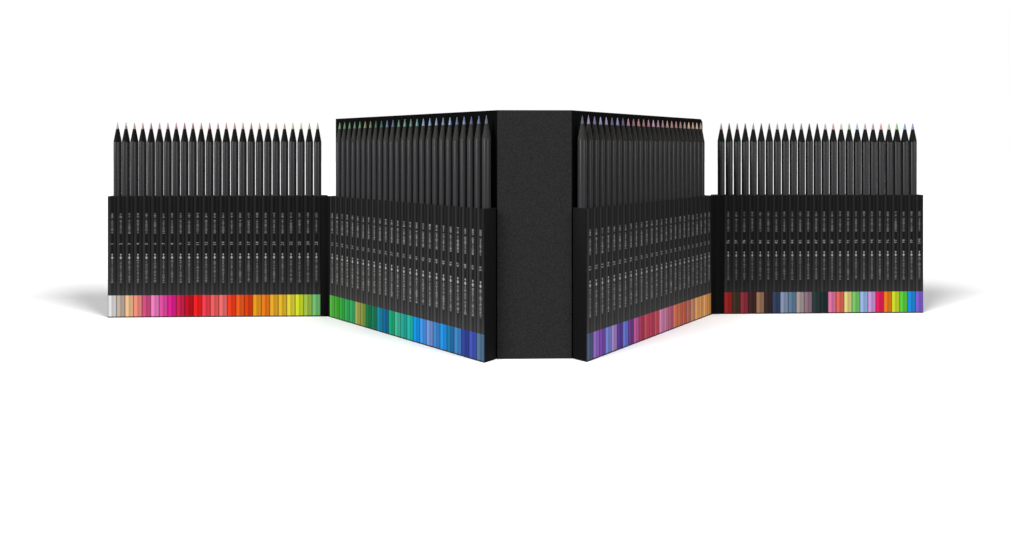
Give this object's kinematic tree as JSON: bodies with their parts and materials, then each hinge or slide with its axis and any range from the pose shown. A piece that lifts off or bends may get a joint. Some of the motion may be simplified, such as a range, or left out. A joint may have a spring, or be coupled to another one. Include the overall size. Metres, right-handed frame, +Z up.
{
  "type": "folding pencil case",
  "caption": "Book-like folding case on a spine, with two covers and four upright pocket trays of coloured pencils; covers and wings hinge, pencils lift out.",
  "frame": {"origin": "middle of the spine board's foot, on the surface that the case stands on", "axes": "+Z up along the pencils, +X along the open case to the viewer's right, -Y towards the viewer"},
  "size_m": [0.7506, 0.1564, 0.181],
  "materials": {
    "greyboard": "matte",
    "case_paper": "satin",
    "spine_paper": "matte",
    "lining_paper": "matte",
    "tray_card": "satin",
    "printed_card": "satin",
    "pulp_board": "matte",
    "hinge_cloth": "matte",
    "pencil_wood": "matte",
    "left_outer_leads": "satin",
    "left_inner_leads": "satin",
    "right_inner_leads": "satin",
    "right_outer_leads": "satin"
  },
  "bodies": {
    "spine": {"spine_board": "greyboard", "spine_wrap": "case_paper", "spine_lining": "spine_paper"},
    "left_cover": {"left_cover_board": "greyboard", "left_cover_wrap": "case_paper", "left_cover_lining": "lining_paper", "left_inner_tray_carton": "tray_card", "left_inner_tray_front": "tray_card", "left_inner_tray_print": "printed_card", "left_inner_tray_rack": "pulp_board", "left_hinge_inner_leaf": "hinge_cloth"},
    "left_inner_pencils_1": {"left_inner_pencil_casings_1": "pencil_wood", "left_inner_pencil_leads_1": "left_inner_leads"},
    "left_inner_pencils_2": {"left_inner_pencil_casings_2": "pencil_wood", "left_inner_pencil_leads_2": "left_inner_leads"},
    "left_inner_pencils_3": {"left_inner_pencil_casings_3": "pencil_wood", "left_inner_pencil_leads_3": "left_inner_leads"},
    "left_wing": {"left_outer_tray_carton": "tray_card", "left_outer_tray_front": "tray_card", "left_outer_tray_print": "printed_card", "left_outer_tray_rack": "pulp_board", "left_hinge_outer_leaf": "hinge_cloth"},
    "left_outer_pencils_1": {"left_outer_pencil_casings_1": "pencil_wood", "left_outer_pencil_leads_1": "left_outer_leads"},
    "left_outer_pencils_2": {"left_outer_pencil_casings_2": "pencil_wood", "left_outer_pencil_leads_2": "left_outer_leads"},
    "left_outer_pencils_3": {"left_outer_pencil_casings_3": "pencil_wood", "left_outer_pencil_leads_3": "left_outer_leads"},
    "right_cover": {"right_cover_board": "greyboard", "right_cover_wrap": "case_paper", "right_cover_lining": "lining_paper", "right_inner_tray_carton": "tray_card", "right_inner_tray_front": "tray_card", "right_inner_tray_print": "printed_card", "right_inner_tray_rack": "pulp_board", "right_hinge_inner_leaf": "hinge_cloth"},
    "right_inner_pencils_1": {"right_inner_pencil_casings_1": "pencil_wood", "right_inner_pencil_leads_1": "right_inner_leads"},
    "right_inner_pencils_2": {"right_inner_pencil_casings_2": "pencil_wood", "right_inner_pencil_leads_2": "right_inner_leads"},
    "right_inner_pencils_3": {"right_inner_pencil_casings_3": "pencil_wood", "right_inner_pencil_leads_3": "right_inner_leads"},
    "right_wing": {"right_outer_tray_carton": "tray_card", "right_outer_tray_front": "tray_card", "right_outer_tray_print": "printed_card", "right_outer_tray_rack": "pulp_board", "right_hinge_outer_leaf": "hinge_cloth"},
    "right_outer_pencils_1": {"right_outer_pencil_casings_1": "pencil_wood", "right_outer_pencil_leads_1": "right_outer_leads"},
    "right_outer_pencils_2": {"right_outer_pencil_casings_2": "pencil_wood", "right_outer_pencil_leads_2": "right_outer_leads"},
    "right_outer_pencils_3": {"right_outer_pencil_casings_3": "pencil_wood", "right_outer_pencil_leads_3": "right_outer_leads"}
  },
  "joints": [
    {"name": "right_cover_hinge", "type": "hinge", "parent": "spine", "child": "right_cover", "pos_m": [0.02697, -0.0013, 0], "axis": [0, 0, -1], "range_deg": [-45, 135]},
    {"name": "right_wing_hinge", "type": "hinge", "parent": "right_cover", "child": "right_wing", "pos_m": [0.17707, 0.12981, 0], "axis": [0, 0, -1], "range_deg": [-40, 135]},
    {"name": "left_cover_hinge", "type": "hinge", "parent": "spine", "child": "left_cover", "pos_m": [-0.02697, -0.0013, 0], "axis": [0, 0, 1], "range_deg": [-45, 135]},
    {"name": "left_wing_hinge", "type": "hinge", "parent": "left_cover", "child": "left_wing", "pos_m": [-0.17707, 0.12981, 0], "axis": [0, 0, 1], "range_deg": [-40, 135]},
    {"name": "left_inner_pencils_1_lift", "type": "slide", "parent": "left_cover", "child": "left_inner_pencils_1", "axis": [0, 0, 1], "range_m": [0, 0.125]},
    {"name": "left_inner_pencils_2_lift", "type": "slide", "parent": "left_cover", "child": "left_inner_pencils_2", "axis": [0, 0, 1], "range_m": [0, 0.125]},
    {"name": "left_inner_pencils_3_lift", "type": "slide", "parent": "left_cover", "child": "left_inner_pencils_3", "axis": [0, 0, 1], "range_m": [0, 0.125]},
    {"name": "left_outer_pencils_1_lift", "type": "slide", "parent": "left_wing", "child": "left_outer_pencils_1", "axis": [0, 0, 1], "range_m": [0, 0.125]},
    {"name": "left_outer_pencils_2_lift", "type": "slide", "parent": "left_wing", "child": "left_outer_pencils_2", "axis": [0, 0, 1], "range_m": [0, 0.125]},
    {"name": "left_outer_pencils_3_lift", "type": "slide", "parent": "left_wing", "child": "left_outer_pencils_3", "axis": [0, 0, 1], "range_m": [0, 0.125]},
    {"name": "right_inner_pencils_1_lift", "type": "slide", "parent": "right_cover", "child": "right_inner_pencils_1", "axis": [0, 0, 1], "range_m": [0, 0.125]},
    {"name": "right_inner_pencils_2_lift", "type": "slide", "parent": "right_cover", "child": "right_inner_pencils_2", "axis": [0, 0, 1], "range_m": [0, 0.125]},
    {"name": "right_inner_pencils_3_lift", "type": "slide", "parent": "right_cover", "child": "right_inner_pencils_3", "axis": [0, 0, 1], "range_m": [0, 0.125]},
    {"name": "right_outer_pencils_1_lift", "type": "slide", "parent": "right_wing", "child": "right_outer_pencils_1", "axis": [0, 0, 1], "range_m": [0, 0.125]},
    {"name": "right_outer_pencils_2_lift", "type": "slide", "parent": "right_wing", "child": "right_outer_pencils_2", "axis": [0, 0, 1], "range_m": [0, 0.125]},
    {"name": "right_outer_pencils_3_lift", "type": "slide", "parent": "right_wing", "child": "right_outer_pencils_3", "axis": [0, 0, 1], "range_m": [0, 0.125]}
  ]
}
